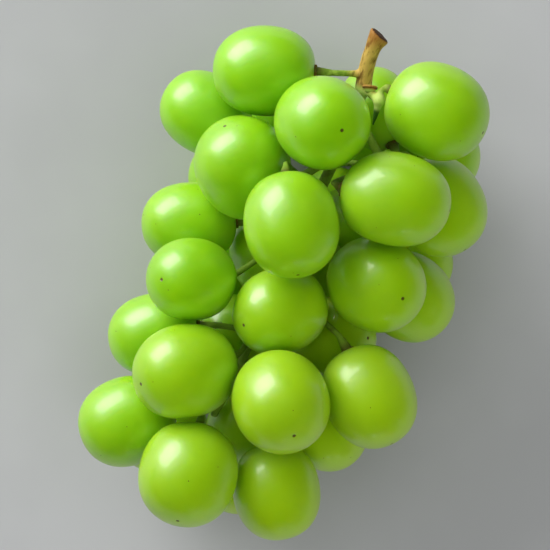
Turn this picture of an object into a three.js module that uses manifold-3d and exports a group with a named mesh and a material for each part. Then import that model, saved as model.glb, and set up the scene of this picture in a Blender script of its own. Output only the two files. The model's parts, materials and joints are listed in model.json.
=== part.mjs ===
// A bunch of large round-oval white table grapes, picked and laid on its side.
//
// Millimetres, +Z up. The floor is Z = 0. The rachis, the bunch's main stalk, runs along Y with the cut
// stem at +Y. The origin is the bottom centre of the bunch's box.
//
// The berries are placed round the rachis by hand, then settled until no two press into each other. The
// stem skeleton is one woody body that is grown afterwards: laterals leave the rachis, find their way
// between the berries and carry a pedicel to each berry's stem end. Where a berry still meets a neighbour,
// a stalk or the floor, its skin is pressed flat there.

import * as THREE from "three";
import { mergeVertices } from "three/addons/utils/BufferGeometryUtils.js";
import Module from "manifold-3d";

const wasm = await Module();
wasm.setup();

// Driving dimensions of the berries.
const BERRY_DIAMETER = 26.4; // girth of a berry marked 100 %
const BERRY_LENGTH = 30; // stem end to tip of a berry marked 100 %
const BERRY_FULLNESS = 2.2; // exponent of the outline: 2 is an ellipse, more has squarer shoulders
const STEM_END_FLAT = 0.965; // the stem end is pressed flat at this share of the half length

// Driving dimensions of the bunch.
const RACHIS_LENGTH = 120; // from the crown, where the peduncle ends, to the last berry's centre
const BUNCH_REACH = 45; // from the rachis to the centre of a berry marked 100 % out
const LOWEST_REACH = 0.752; // how far below the rachis the lowest berries hang, as a share of the reach

// Driving dimensions of the stem skeleton.
const PEDUNCLE_LENGTH = 17; // from the crown up to the cut
const PEDUNCLE_RADIUS = 2.15;
const PEDUNCLE_FLARE = 1.15; // how much wider it is at the cut
const PEDUNCLE_BOW = 0.7; // how far its middle bows out of the straight line
const HEEL_REACH = 3; // how far the heel of the old cane stands out to the side of the cut
const HEEL_RADIUS = 1.45;
const RACHIS_TOP_RADIUS = 1.8;
const RACHIS_TIP_RADIUS = 1.1;
const LATERAL_RADIUS = 1.25;
const PEDICEL_RADIUS = 0.9;
const PEDICEL_ROOT_RADIUS = 1.25; // where it leaves its lateral
const RECEPTACLE_RADIUS = 1.7; // the disc that a pedicel widens into under its berry
const SPUR_LENGTH = 4; // how far a pedicel runs straight on from its berry
const DRIED_TIP_RADIUS = 0.35; // the point of a pedicel whose berry never grew
const KNUCKLE = 1.5; // the swelling at a fork, as a multiple of the stalk's radius
const HUB_SHARE = 0.65; // how far out along the way to its berries a lateral forks

// Clearances.
const SKIN_GAP = 0.3; // between two berries that press on each other
const STALK_GAP = 0.3; // between a berry and a stalk
const FLOOR_SQUASH = 0.6; // how much a berry that carries the bunch is flattened on the floor

// Fineness of the faceted surfaces.
const BERRY_SEGMENTS = 16;
const BERRY_RINGS = 9;
const STALK_SIDES = 8;
const PEDUNCLE_SIDES = 12;
const STALK_STEP = 6; // length of one straight piece of a stalk
const SKIN_SOFTNESS = 24; // how sharply a pressed flat turns into the round of the berry
const NEIGHBOUR_ROOM = 6; // berries further apart than this don't shape each other

const RACHIS_HEIGHT = BERRY_DIAMETER / 2 + LOWEST_REACH * BUNCH_REACH;
const DOWN = new THREE.Vector3(0, 0, -1);

// The run of the rachis: share of its length from the crown in %, then mm to +X and mm above its height.
const RACHIS_RUN = [
  [0, 0, 8],
  [13, 1, 1],
  [42, 0, 0],
  [75, 0, 1],
  [86, -1, 4],
];

// Each lateral: where it leaves the rachis in %, which is on the peduncle when negative, and its berries,
// with the place of its fork where that shows from outside, and the tip of a dried pedicel if it has one.
// Both places are mm to +X, % down the rachis and mm above its height. A berry is written
// [name, % down the rachis, clock angle, % out, girth %, length %, heading of its tip, rise of its tip].
// The clock angle is 0 straight above the rachis, 90 towards +X and 180 below it. The heading is in
// degrees from +X towards +Y, and the rise is in degrees above level.
const LATERALS = [
  { at: -3, berries: [["upper_1", 6, 291, 65, 98, 99, 202, -5]] },
  {
    at: 0,
    hub: [5.6, 1.6, 13],
    driedTip: [6.9, 7.6, 11],
    berries: [["upper_3", -1, 48, 64, 102, 99, 357, 20]],
  },
  {
    at: 4,
    berries: [
      ["upper_2", 13, 348, 65, 98, 98, 343, 60],
      ["side_1", 20, 259, 88, 90, 92, 174, 0],
      ["under_1", 8, 212, 90, 98, 100, 124, -15],
    ],
  },
  {
    at: 6,
    hub: [13.7, 14, 3],
    berries: [
      ["side_3", 3, 132, 24, 81, 84, 136, -20],
      ["under_2", 5, 171, 76, 98, 98, 84, -20],
      ["side_5", 6, 130, 68, 96, 97, 34, -20],
      ["side_4", 18, 86, 75, 101, 98, 324, 10],
      ["upper_6", 22, 34, 79, 98, 104, 16, 5],
    ],
  },
  {
    at: 17,
    berries: [
      ["upper_4", 29, 301, 56, 104, 100, 139, 35],
      ["upper_5", 37, 355, 72, 100, 99, 284, 20],
    ],
  },
  {
    at: 19,
    berries: [
      ["under_3", 31, 208, 84, 98, 98, 184, -25],
      ["under_4", 29, 175, 74, 100, 98, 34, -30],
      ["inner_1", 31, 123, 35, 89, 89, 24, 30],
      ["under_5", 32, 139, 99, 97, 98, 14, -20],
    ],
  },
  {
    at: 30,
    berries: [
      ["upper_9", 42, 58, 66, 101, 103, 354, 60],
      ["side_6", 41, 105, 84, 96, 95, 334, -10],
    ],
  },
  {
    at: 35,
    berries: [
      ["side_2", 46, 262, 67, 91, 94, 207, 0],
      ["inner_2", 46, 199, 32, 89, 89, 144, 30],
      ["upper_7", 58, 310, 61, 89, 91, 204, 55],
    ],
  },
  {
    at: 41,
    berries: [
      ["under_6", 52, 211, 87, 98, 98, 204, -20],
      ["under_7", 51, 157, 81, 96, 98, 4, -30],
      ["inner_3", 57, 105, 50, 89, 89, 24, 40],
    ],
  },
  {
    at: 48,
    berries: [
      ["upper_8", 56, 14, 37, 93, 95, 224, 40],
      ["upper_12", 66, 62, 92, 97, 99, 319, 15],
      ["side_8", 67, 122, 96, 94, 96, 344, -20],
    ],
  },
  {
    at: 57,
    berries: [
      ["side_7", 74, 269, 55, 91, 91, 214, -10],
      ["inner_4", 66, 200, 30, 89, 89, 174, 30],
      ["upper_10", 78, 329, 56, 101, 100, 219, 35],
    ],
  },
  {
    at: 63,
    berries: [
      ["under_8", 75, 207, 85, 96, 98, 214, -20],
      ["under_9", 74, 159, 80, 98, 98, 324, -30],
      ["side_9", 79, 91, 61, 88, 88, 339, -20],
    ],
  },
  {
    at: 73,
    berries: [
      ["upper_11", 75, 25, 73, 102, 99, 294, 35],
      ["upper_14", 95, 62, 60, 94, 93, 304, 5],
      ["inner_5", 84, 125, 25, 87, 87, 274, 40],
    ],
  },
  {
    at: 84,
    berries: [
      ["side_10", 95, 283, 52, 97, 94, 224, 0],
      ["upper_13", 99, 358, 50, 105, 98, 282, 32],
      ["under_10", 96, 207, 66, 92, 94, 234, -15],
      ["under_11", 96, 155, 66, 94, 96, 274, -15],
    ],
  },
];

// The berries that carry the bunch lie on the floor: those between these clock angles and this far out.
const RESTING_FROM = 135;
const RESTING_TO = 225;
const RESTING_OUT = 72;

// ------------------------------------------------------------------------------------------ the berries

function alongRachis(percent, sideways, above) {
  return new THREE.Vector3(
    sideways,
    RACHIS_LENGTH * (0.5 - percent / 100),
    RACHIS_HEIGHT + above,
  );
}

function direction(headingDegrees, riseDegrees) {
  const heading = THREE.MathUtils.degToRad(headingDegrees);
  const rise = THREE.MathUtils.degToRad(riseDegrees);
  return new THREE.Vector3(
    Math.cos(rise) * Math.cos(heading),
    Math.cos(rise) * Math.sin(heading),
    Math.sin(rise),
  );
}

function makeBerry([name, percent, clock, out, girth, length, heading, rise]) {
  const angle = THREE.MathUtils.degToRad(clock);
  const reach = (BUNCH_REACH * out) / 100;
  const place = alongRachis(percent, reach * Math.sin(angle), reach * Math.cos(angle));
  return {
    name: "berry_" + name,
    place,
    centre: place.clone(),
    axis: direction(heading, rise),
    halfGirth: (BERRY_DIAMETER * girth) / 200,
    halfLength: (BERRY_LENGTH * length) / 200,
    stemDistance: (STEM_END_FLAT * BERRY_LENGTH * length) / 200,
    resting: clock >= RESTING_FROM && clock <= RESTING_TO && out >= RESTING_OUT,
  };
}

// Distance from a berry's centre to its skin in direction u, before anything presses on it.
function skinDistance(berry, u) {
  const along = Math.abs(u.dot(berry.axis));
  const across = Math.sqrt(Math.max(0, 1 - along * along));
  return Math.pow(
    Math.pow(along / berry.halfLength, BERRY_FULLNESS) + Math.pow(across / berry.halfGirth, BERRY_FULLNESS),
    -1 / BERRY_FULLNESS,
  );
}

// How far a berry reaches in direction u: the distance of the plane across u that just touches it.
function reachTowards(berry, u) {
  const dual = BERRY_FULLNESS / (BERRY_FULLNESS - 1);
  const along = Math.abs(u.dot(berry.axis));
  const across = Math.sqrt(Math.max(0, 1 - along * along));
  return Math.pow(
    Math.pow(berry.halfLength * along, dual) + Math.pow(berry.halfGirth * across, dual),
    1 / dual,
  );
}

// A point on the berry's axis, beyond its stem end.
function stemEnd(berry, beyond) {
  return berry.centre.clone().addScaledVector(berry.axis, -berry.stemDistance - beyond);
}

function nearestOnSegment(point, start, end) {
  return new THREE.Line3(start, end).closestPointToPoint(point, true, new THREE.Vector3());
}

function nearestOnLine(point, line) {
  let nearest = line[0];
  for (let i = 1; i < line.length; i++) {
    const candidate = nearestOnSegment(point, line[i - 1], line[i]);
    if (candidate.distanceTo(point) < nearest.distanceTo(point)) nearest = candidate;
  }
  return nearest;
}

// Moves berries apart where they press on each other, on the rachis, on each other's pedicels or on the
// floor. pull says how strongly each goes back to its own place.
function settle(berries, rachis, passes, pull) {
  const step = 0.3;
  const spurRoom = PEDICEL_RADIUS + STALK_GAP;
  for (let pass = 0; pass < passes; pass++) {
    const moves = berries.map((berry) => berry.place.clone().sub(berry.centre).multiplyScalar(pull));
    berries.forEach((berry, i) => {
      berries.forEach((other, j) => {
        if (j <= i) return;
        const away = other.centre.clone().sub(berry.centre);
        const apart = away.length();
        away.divideScalar(apart);
        const pressed = reachTowards(berry, away) + reachTowards(other, away) + SKIN_GAP / 2 - apart;
        if (pressed <= 0) return;
        moves[i].addScaledVector(away, -pressed / 2);
        moves[j].addScaledVector(away, pressed / 2);
      });
      const spur = stemEnd(berry, SPUR_LENGTH / 2);
      berries.forEach((other, j) => {
        if (j === i) return;
        const away = other.centre.clone().sub(spur);
        const apart = away.length();
        away.divideScalar(apart);
        const pressed = skinDistance(other, away) + spurRoom - apart;
        if (pressed <= 0) return;
        moves[i].addScaledVector(away, -pressed / 4);
        moves[j].addScaledVector(away, pressed / 2);
      });
      const fromRachis = berry.centre.clone().sub(nearestOnLine(berry.centre, rachis));
      const distance = fromRachis.length();
      fromRachis.divideScalar(distance);
      const onRachis = reachTowards(berry, fromRachis) + RACHIS_TOP_RADIUS + STALK_GAP - distance;
      if (onRachis > 0) moves[i].addScaledVector(fromRachis, onRachis);
    });
    berries.forEach((berry, i) => {
      berry.centre.addScaledVector(moves[i], step);
      const floorHeight = reachTowards(berry, DOWN);
      if (berry.resting) berry.centre.z = floorHeight - FLOOR_SQUASH;
      else berry.centre.z = Math.max(berry.centre.z, floorHeight + SKIN_GAP);
    });
  }
}

// Turns each berry a little where that gives its pedicel more room between the neighbours.
function turnToRoom(berries) {
  const wanted = PEDICEL_RADIUS + 2 * STALK_GAP;
  const roomFor = (berry, axis) => {
    const spur = berry.centre.clone().addScaledVector(axis, -berry.halfLength - SPUR_LENGTH);
    let room = wanted;
    for (const other of berries) {
      if (other === berry) continue;
      const towards = spur.clone().sub(other.centre);
      const apart = towards.length();
      room = Math.min(room, apart - skinDistance(other, towards.divideScalar(apart)));
    }
    return room;
  };
  const turnCost = 0.04; // mm of room that one degree of turning is worth
  for (const berry of berries) {
    const level = new THREE.Vector3(-berry.axis.y, berry.axis.x, 0).normalize();
    const upright = berry.axis.clone().cross(level);
    let best = berry.axis.clone();
    let bestScore = roomFor(berry, best);
    for (let tilt = 8; tilt <= 48; tilt += 8) {
      for (let around = 0; around < 360; around += 30) {
        const angle = THREE.MathUtils.degToRad(around);
        const lean = level.clone().multiplyScalar(Math.cos(angle)).addScaledVector(upright, Math.sin(angle));
        const axis = berry.axis
          .clone()
          .addScaledVector(lean, Math.tan(THREE.MathUtils.degToRad(tilt)))
          .normalize();
        const score = roomFor(berry, axis) - turnCost * tilt;
        if (score > bestScore) {
          bestScore = score;
          best = axis;
        }
      }
    }
    berry.axis.copy(best);
  }
}

// ------------------------------------------------------------------------------------ the stem skeleton

// A way for a stalk from one point to another that keeps clear of the berries where it can.
function routeBetween(from, to, radius, berries) {
  const passes = 80;
  const count = Math.max(3, Math.ceil(from.distanceTo(to) / STALK_STEP));
  const points = [];
  for (let i = 0; i <= count; i++) points.push(from.clone().lerp(to, i / count));
  for (let pass = 0; pass < passes; pass++) {
    for (let i = 1; i < count; i++) {
      const between = points[i - 1].clone().add(points[i + 1]).multiplyScalar(0.5);
      points[i].lerp(between, 0.5);
      pushClear(points[i], radius, berries);
    }
  }
  return points;
}

function pushClear(point, radius, berries) {
  for (const berry of berries) {
    const away = point.clone().sub(berry.centre);
    const apart = away.length();
    away.divideScalar(apart);
    const needed = skinDistance(berry, away) + radius + STALK_GAP;
    if (apart < needed) point.copy(berry.centre).addScaledVector(away, needed);
  }
}

// A stalk along a smooth line through points, as a row of rings. radiusAt gives a ring's radius from how
// many rings come before it and how many come after it.
function makeStalk(points, radiusAt, step = STALK_STEP, sides = STALK_SIDES) {
  const curve = new THREE.CatmullRomCurve3(points);
  const count = Math.max(3, Math.round(curve.getLength() / step));
  const spine = curve.getSpacedPoints(count);
  const frames = curve.computeFrenetFrames(count);
  const spread = spine.map((_, i) => radiusAt(i, count - i));
  const profile = [new THREE.Vector2(0, 0)];
  spread.forEach((radius, i) => profile.push(new THREE.Vector2(radius, i)));
  profile.push(new THREE.Vector2(0, count));
  const geometry = new THREE.LatheGeometry(profile, sides);
  const position = geometry.getAttribute("position");
  for (let i = 0; i < position.count; i++) {
    const ring = Math.round(position.getY(i));
    const bent = spine[ring]
      .clone()
      .addScaledVector(frames.binormals[ring], position.getX(i))
      .addScaledVector(frames.normals[ring], position.getZ(i));
    position.setXYZ(i, bent.x, bent.y, bent.z);
  }
  const pieces = [];
  for (let i = 1; i < spine.length; i++) {
    pieces.push({ start: spine[i - 1], end: spine[i], radius: Math.max(spread[i - 1], spread[i]) });
  }
  return { solid: toSolid(geometry), pieces };
}

function makeKnuckle(centre, radius) {
  const geometry = new THREE.SphereGeometry(radius, STALK_SIDES, 5).translate(centre.x, centre.y, centre.z);
  return { solid: toSolid(geometry), pieces: [{ start: centre, end: centre, radius }] };
}

function makeRachis() {
  const points = RACHIS_RUN.map(([percent, sideways, above]) => alongRachis(percent, sideways, above));
  const curve = new THREE.CatmullRomCurve3(points);
  const stalk = makeStalk(points, (before, after) =>
    THREE.MathUtils.lerp(RACHIS_TOP_RADIUS, RACHIS_TIP_RADIUS, before / (before + after)),
  );
  return { ...stalk, line: curve.getSpacedPoints(30), crown: points[0] };
}

// The peduncle rises from the crown, leaning to one side, and ends in a heel of the cane it was cut from.
function makePeduncle(crown) {
  const lean = new THREE.Vector3(-0.13, 0.87, 0.46).normalize();
  const aside = new THREE.Vector3(-1, 0, 0);
  const cut = crown.clone().addScaledVector(lean, PEDUNCLE_LENGTH);
  const bend = crown.clone().lerp(cut, 0.45).addScaledVector(aside, PEDUNCLE_BOW);
  const beyond = cut.clone().addScaledVector(lean, PEDUNCLE_RADIUS * 2);
  const shaftRadius = (before, after) => PEDUNCLE_RADIUS * (after > 2 && before > 0 ? 1 : PEDUNCLE_FLARE);
  const shaft = makeStalk([crown, bend, cut, beyond], shaftRadius, STALK_STEP / 2, PEDUNCLE_SIDES);
  const heelStart = crown.clone().addScaledVector(lean, PEDUNCLE_LENGTH * 0.75);
  const heelEnd = cut.clone().add(new THREE.Vector3(HEEL_REACH, HEEL_REACH / 5, 0));
  const heelMiddle = heelStart.clone().lerp(heelEnd, 0.5);
  const heel = makeStalk([heelStart, heelMiddle, heelEnd], () => HEEL_RADIUS);
  const line = new THREE.CatmullRomCurve3([crown, bend, cut]).getSpacedPoints(12);
  const blade = 30; // side of the block that the cut takes away
  const facing = new THREE.Vector3(0.34, 0.88, 0.34).normalize();
  const block = new THREE.BoxGeometry(blade, blade, blade).translate(0, blade / 2, 0);
  block.applyQuaternion(new THREE.Quaternion().setFromUnitVectors(new THREE.Vector3(0, 1, 0), facing));
  block.translate(cut.x, cut.y, cut.z);
  return {
    solid: shaft.solid.add(heel.solid).subtract(toSolid(block)),
    pieces: [...shaft.pieces, ...heel.pieces],
    line,
  };
}

// The point of the main stalk at a share of the rachis, which is on the peduncle where it is negative.
function mainStalkAt(percent, rachis, peduncle) {
  const line = percent < 0 ? peduncle.line : rachis.line;
  const height = RACHIS_LENGTH * (0.5 - percent / 100);
  return line.reduce((best, point) =>
    Math.abs(point.y - height) < Math.abs(best.y - height) ? point : best,
  );
}

// One lateral with its pedicels. A lateral of one berry is only a pedicel. Where it forks is worked out
// from its berries, unless hub gives the place: mm to +X, % down the rachis, mm above its height.
function makeLateral({ at, hub: hubPlace, driedTip }, carried, berries, rachis, peduncle) {
  const root = mainStalkAt(at, rachis, peduncle);
  const stalks = [];
  let hub = root;
  if (carried.length > 1 || hubPlace) {
    hub = new THREE.Vector3();
    carried.forEach((berry) => hub.add(stemEnd(berry, SPUR_LENGTH)));
    hub.divideScalar(carried.length).lerp(root, 1 - HUB_SHARE);
    if (hubPlace) hub = alongRachis(hubPlace[1], hubPlace[0], hubPlace[2]);
    for (let i = 0; i < 20; i++) pushClear(hub, LATERAL_RADIUS * KNUCKLE, berries);
    stalks.push(makeStalk(routeBetween(root, hub, LATERAL_RADIUS, berries), () => LATERAL_RADIUS));
    stalks.push(makeKnuckle(hub, LATERAL_RADIUS * KNUCKLE));
  }
  if (driedTip) {
    const tip = alongRachis(driedTip[1], driedTip[0], driedTip[2]);
    const taper = (before, after) =>
      THREE.MathUtils.lerp(LATERAL_RADIUS, DRIED_TIP_RADIUS, before / (before + after));
    stalks.push(makeStalk([hub, hub.clone().lerp(tip, 0.5), tip], taper, STALK_STEP / 2));
  }
  for (const berry of carried) {
    const seat = stemEnd(berry, STALK_GAP);
    const spur = stemEnd(berry, SPUR_LENGTH);
    const route = routeBetween(hub, spur, PEDICEL_RADIUS, berries);
    const pedicel = makeStalk([...route, seat], (before, after) => {
      if (after === 0) return RECEPTACLE_RADIUS;
      return before === 0 ? PEDICEL_ROOT_RADIUS : PEDICEL_RADIUS;
    });
    pedicel.pieces.at(-1).berry = berry;
    stalks.push(pedicel);
  }
  return stalks;
}

// -------------------------------------------------------------------------------------------- the solids

function toSolid(geometry) {
  const bare = geometry.clone();
  bare.deleteAttribute("normal");
  bare.deleteAttribute("uv");
  const merged = mergeVertices(bare, 1e-4);
  return new wasm.Manifold(
    new wasm.Mesh({
      numProp: 3,
      vertProperties: merged.getAttribute("position").array,
      triVerts: new Uint32Array(merged.index.array),
    }),
  );
}

function toGeometry(solid) {
  const mesh = solid.getMesh();
  const geometry = new THREE.BufferGeometry();
  geometry.setAttribute("position", new THREE.BufferAttribute(new Float32Array(mesh.vertProperties), 3));
  geometry.setIndex(new THREE.BufferAttribute(new Uint32Array(mesh.triVerts), 1));
  geometry.computeVertexNormals();
  return geometry;
}

// The planes that a berry's neighbours, and the joint with its pedicel, press its skin to. Each is a unit
// normal and its distance from the berry's centre.
function planesOfNeighbours(berry, berries) {
  const planes = [{ normal: berry.axis.clone().negate(), distance: berry.halfLength * STEM_END_FLAT }];
  for (const other of berries) {
    if (other === berry) continue;
    const normal = other.centre.clone().sub(berry.centre);
    const apart = normal.length();
    normal.divideScalar(apart);
    const room = apart - reachTowards(berry, normal) - reachTowards(other, normal);
    if (room < NEIGHBOUR_ROOM) {
      planes.push({ normal, distance: reachTowards(berry, normal) + (room - SKIN_GAP) / 2 });
    }
  }
  return planes;
}

// The planes that stalks press a berry's skin to, its own pedicel's last piece apart.
function planesOfStalks(berry, pieces) {
  const planes = [];
  for (const piece of pieces) {
    if (piece.berry === berry) continue;
    const normal = nearestOnSegment(berry.centre, piece.start, piece.end).sub(berry.centre);
    const apart = normal.length();
    normal.divideScalar(apart);
    if (apart < BERRY_LENGTH) planes.push({ normal, distance: apart - piece.radius - STALK_GAP });
  }
  return planes;
}

// Distance from a berry's centre to its skin in direction u once planes press on it.
function pressedDistance(berry, u, planes) {
  let pressed = Math.pow(skinDistance(berry, u), -SKIN_SOFTNESS);
  for (const { normal, distance } of planes) {
    const facing = u.dot(normal);
    if (facing > 0.1) pressed += Math.pow(distance / facing, -SKIN_SOFTNESS);
  }
  return Math.pow(pressed, -1 / SKIN_SOFTNESS);
}

function makeBerryMesh(berry, planes, material) {
  const turn = new THREE.Quaternion().setFromUnitVectors(new THREE.Vector3(0, 1, 0), berry.axis);
  const geometry = new THREE.SphereGeometry(1, BERRY_SEGMENTS, BERRY_RINGS);
  const position = geometry.getAttribute("position");
  const local = new THREE.Vector3();
  for (let i = 0; i < position.count; i++) {
    local.fromBufferAttribute(position, i).normalize();
    local.multiplyScalar(pressedDistance(berry, local.clone().applyQuaternion(turn), planes));
    position.setXYZ(i, local.x, local.y, local.z);
  }
  let solid = toSolid(geometry);
  if (berry.resting) {
    const size = 4 * BERRY_LENGTH;
    const floor = new THREE.BoxGeometry(size, size, size).translate(0, 0, -size / 2 - berry.centre.z);
    solid = solid.subtract(toSolid(floor.applyQuaternion(turn.clone().invert())));
  }
  const mesh = new THREE.Mesh(toGeometry(solid), material);
  mesh.name = berry.name;
  mesh.position.copy(berry.centre);
  mesh.quaternion.copy(turn);
  return mesh;
}

function makeMaterial(name, colour, roughness) {
  return new THREE.MeshStandardMaterial({ name, color: colour, roughness, metalness: 0 });
}

function makeBunch() {
  const rachis = makeRachis();
  const peduncle = makePeduncle(rachis.crown);
  const groups = LATERALS.map((lateral) => lateral.berries.map(makeBerry));
  const berries = groups.flat();
  const mainLine = [...peduncle.line].reverse().concat(rachis.line);
  settle(berries, mainLine, 300, 0.1);
  turnToRoom(berries);
  settle(berries, mainLine, 300, 0.1);
  turnToRoom(berries);
  settle(berries, mainLine, 400, 0.05);
  settle(berries, mainLine, 60, 0);
  for (const berry of berries) {
    const inward = berry.axis.clone().negate();
    berry.stemDistance = pressedDistance(berry, inward, planesOfNeighbours(berry, berries));
  }

  const stalks = [rachis, peduncle, makeKnuckle(rachis.crown, PEDUNCLE_RADIUS * PEDUNCLE_FLARE)];
  LATERALS.forEach((lateral, i) => {
    stalks.push(...makeLateral(lateral, groups[i], berries, rachis, peduncle));
  });
  const pieces = stalks.flatMap((stalk) => stalk.pieces);

  const bunch = new THREE.Group();
  bunch.name = "bunch_of_grapes";
  const laid = new THREE.Group();
  bunch.add(laid);
  const skeleton = stalks.map((stalk) => stalk.solid).reduce((joined, solid) => joined.add(solid));
  const stem = new THREE.Mesh(toGeometry(skeleton), makeMaterial("stem_bark", 0x9a8a45, 0.75));
  stem.name = "stem";
  laid.add(stem);
  for (const berry of berries) {
    const skin = makeMaterial(berry.name + "_skin", 0x9acb2c, 0.3);
    const planes = [...planesOfNeighbours(berry, berries), ...planesOfStalks(berry, pieces)];
    laid.add(makeBerryMesh(berry, planes, skin));
  }

  const box = new THREE.Box3().setFromObject(laid, true);
  laid.position.set(-(box.min.x + box.max.x) / 2, -(box.min.y + box.max.y) / 2, 0);
  return bunch;
}

export default makeBunch();
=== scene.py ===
"""A bunch of green table grapes lying on a pale table, laid out as a Blender add-on.

The CAD frame gives each berry's place and pressed shape and the stem's run. The operators turn them into
smooth skins with a stem dimple and a tip scar, a barked stalk, a corky crown ring, receptacle collars and
lenticels.
"""

import json
import math

import bmesh
import bpy
import numpy as np
from bpy.props import FloatProperty, FloatVectorProperty, IntProperty, PointerProperty
from bpy.types import Operator, Panel, PropertyGroup
from mathutils import Matrix, Vector, kdtree

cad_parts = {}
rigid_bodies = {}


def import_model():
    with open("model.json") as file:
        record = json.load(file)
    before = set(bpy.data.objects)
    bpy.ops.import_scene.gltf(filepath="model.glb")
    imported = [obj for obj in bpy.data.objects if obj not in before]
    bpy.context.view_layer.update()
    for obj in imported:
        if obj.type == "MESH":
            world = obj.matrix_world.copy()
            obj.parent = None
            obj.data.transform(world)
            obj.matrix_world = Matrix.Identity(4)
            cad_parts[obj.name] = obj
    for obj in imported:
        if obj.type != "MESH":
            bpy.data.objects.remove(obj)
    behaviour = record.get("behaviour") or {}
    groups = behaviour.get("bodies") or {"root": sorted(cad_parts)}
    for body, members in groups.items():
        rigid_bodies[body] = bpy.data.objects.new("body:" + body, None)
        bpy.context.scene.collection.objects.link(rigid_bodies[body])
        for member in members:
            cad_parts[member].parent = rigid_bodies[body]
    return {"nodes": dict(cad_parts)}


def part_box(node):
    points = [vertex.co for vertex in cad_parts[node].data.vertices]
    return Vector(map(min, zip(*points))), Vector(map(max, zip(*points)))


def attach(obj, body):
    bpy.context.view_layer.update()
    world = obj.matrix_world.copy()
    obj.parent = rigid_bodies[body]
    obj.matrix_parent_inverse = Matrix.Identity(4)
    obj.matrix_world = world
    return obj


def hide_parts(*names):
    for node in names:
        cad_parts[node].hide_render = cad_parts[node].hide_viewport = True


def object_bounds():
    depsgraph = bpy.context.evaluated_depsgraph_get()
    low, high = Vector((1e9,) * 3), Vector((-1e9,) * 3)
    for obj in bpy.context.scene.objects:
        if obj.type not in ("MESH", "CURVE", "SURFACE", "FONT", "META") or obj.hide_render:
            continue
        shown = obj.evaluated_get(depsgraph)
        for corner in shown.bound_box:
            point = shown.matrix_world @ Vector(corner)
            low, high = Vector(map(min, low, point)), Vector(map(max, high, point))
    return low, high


bl_info = {
    "name": "Bunch of grapes",
    "version": (1, 0, 0),
    "blender": (4, 5, 0),
    "location": "View3D > Sidebar > Grapes",
    "description": "Berries, stem, collars and lenticels of a bunch of grapes",
    "category": "Object",
}

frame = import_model()
CAD_LOW, CAD_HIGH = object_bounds()

STEM_NODE = "stem"
BERRY_NODES = sorted(name for name in frame["nodes"] if name.startswith("berry_"))
BODY = "root"
MM = 0.001

# The peduncle leans along its own axis from the crown, and its cut end faces a little aside.
PEDUNCLE_LEAN = Vector((-0.13, 0.87, 0.46)).normalized()
PEDUNCLE_TOP_DEPTH = 10 * MM
CROWN_BELOW_TOP = 14.3 * MM
CUT_FACING = Vector((0.34, 0.88, 0.34)).normalized()
FORK_FROM_CROWN = Vector((5.6, -1.9, 5.0)) * MM

# The corky ring beside the crown. Its outline is (distance from its axis, rise), in shares of its radius.
RING_FROM_CROWN = Vector((1.3, 0.6, 2.7)) * MM
RING_FACING = Vector((-0.28, 0.95, -0.1)).normalized()
RING_PROFILE = (
    (0.4, -0.75),
    (0.64, -0.45),
    (0.78, -0.22),
    (0.93, -0.16),
    (1.0, -0.04),
    (0.99, 0.08),
    (0.9, 0.16),
    (0.78, 0.1),
    (0.66, 0.12),
    (0.5, 0.26),
)
RING_RIM = 0.75

# The side, seen from the middle, away from the key light, where berries get more olive tone: painted shade
# and painted warm reflected light; and how far luck changes a berry's own ripeness.
SHADED_SIDE = Vector((0.93, -0.36, 0.0))
BUNCH_HALF_LENGTH = 75 * MM
LUCK_SHARE = 0.3
LUCK_SEED = 7
COLLAR_SUNK = 0.1 * MM


# ------------------------------------------------------------------------------------------- settings


def length(name, description, default_mm):
    """A length of the settings, given in millimetres."""
    return FloatProperty(
        name=name, description=description, default=default_mm * MM, unit="LENGTH", precision=5
    )


def colour(name, description, default):
    """A linear colour of the settings."""
    return FloatVectorProperty(
        name=name, description=description, default=default, subtype="COLOR", size=3, min=0.0, max=1.0
    )


def share(name, description, default):
    """A share from 0 to 1."""
    return FloatProperty(
        name=name, description=description, default=default, subtype="FACTOR", min=0.0, max=1.0
    )


def power(name, description, default):
    """The power of a light in watts."""
    return FloatProperty(name=name, description=description, default=default, min=0.0)


class BerrySettings(PropertyGroup):
    """Shape of the berries' fine skins."""

    segments: IntProperty(name="Segments", description="Meridians of an unsmoothed skin", default=48)
    rings: IntProperty(name="Rings", description="Rings of an unsmoothed skin", default=32)
    dimple_radius: length("Dimple radius", "Radius of the hollow at the stem end", 3.2)
    dimple_depth: length("Dimple depth", "Depth of the hollow at the stem end", 0.45)
    scar_radius: length("Scar radius", "Radius of the flower's scar at the tip", 0.6)
    scar_depth: length("Scar depth", "How deep the flower's scar lies", 0.22)
    unevenness: length("Unevenness", "How far the skin wanders in and out", 0.14)


class SkinSettings(PropertyGroup):
    """Colours and finish of the berries' skins."""

    flesh: colour("Flesh", "Bright yellow-green of the berries", (0.31, 0.64, 0.004))
    deep: colour("Deep", "Deeper green that mottles it", (0.25, 0.56, 0.003))
    # Ripe: olive tone of ripe berries. The same tone is painted as shade and warm reflected light on the
    # berries away from the key light.
    ripe_and_shaded: colour("Ripe and shaded", "Olive-gold tone of the ripest berries", (0.4, 0.58, 0.008))
    bloom: colour("Bloom", "Pale waxy film", (0.55, 0.78, 0.25))
    scar: colour("Scar", "Brown of scars and lenticels", (0.075, 0.04, 0.012))
    bloom_amount: share("Bloom amount", "How much of the wax is left", 0.03)


class LenticelSettings(PropertyGroup):
    """The small brown dots on the skins."""

    spacing: length("Spacing", "Least distance between two dots", 7.0)
    density: FloatProperty(name="Density", description="Dots per square metre of skin", default=2600.0)
    radius: length("Radius", "Radius of a dot", 0.16)
    seed: IntProperty(name="Seed", description="Changes where the dots lie", default=11)


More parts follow.
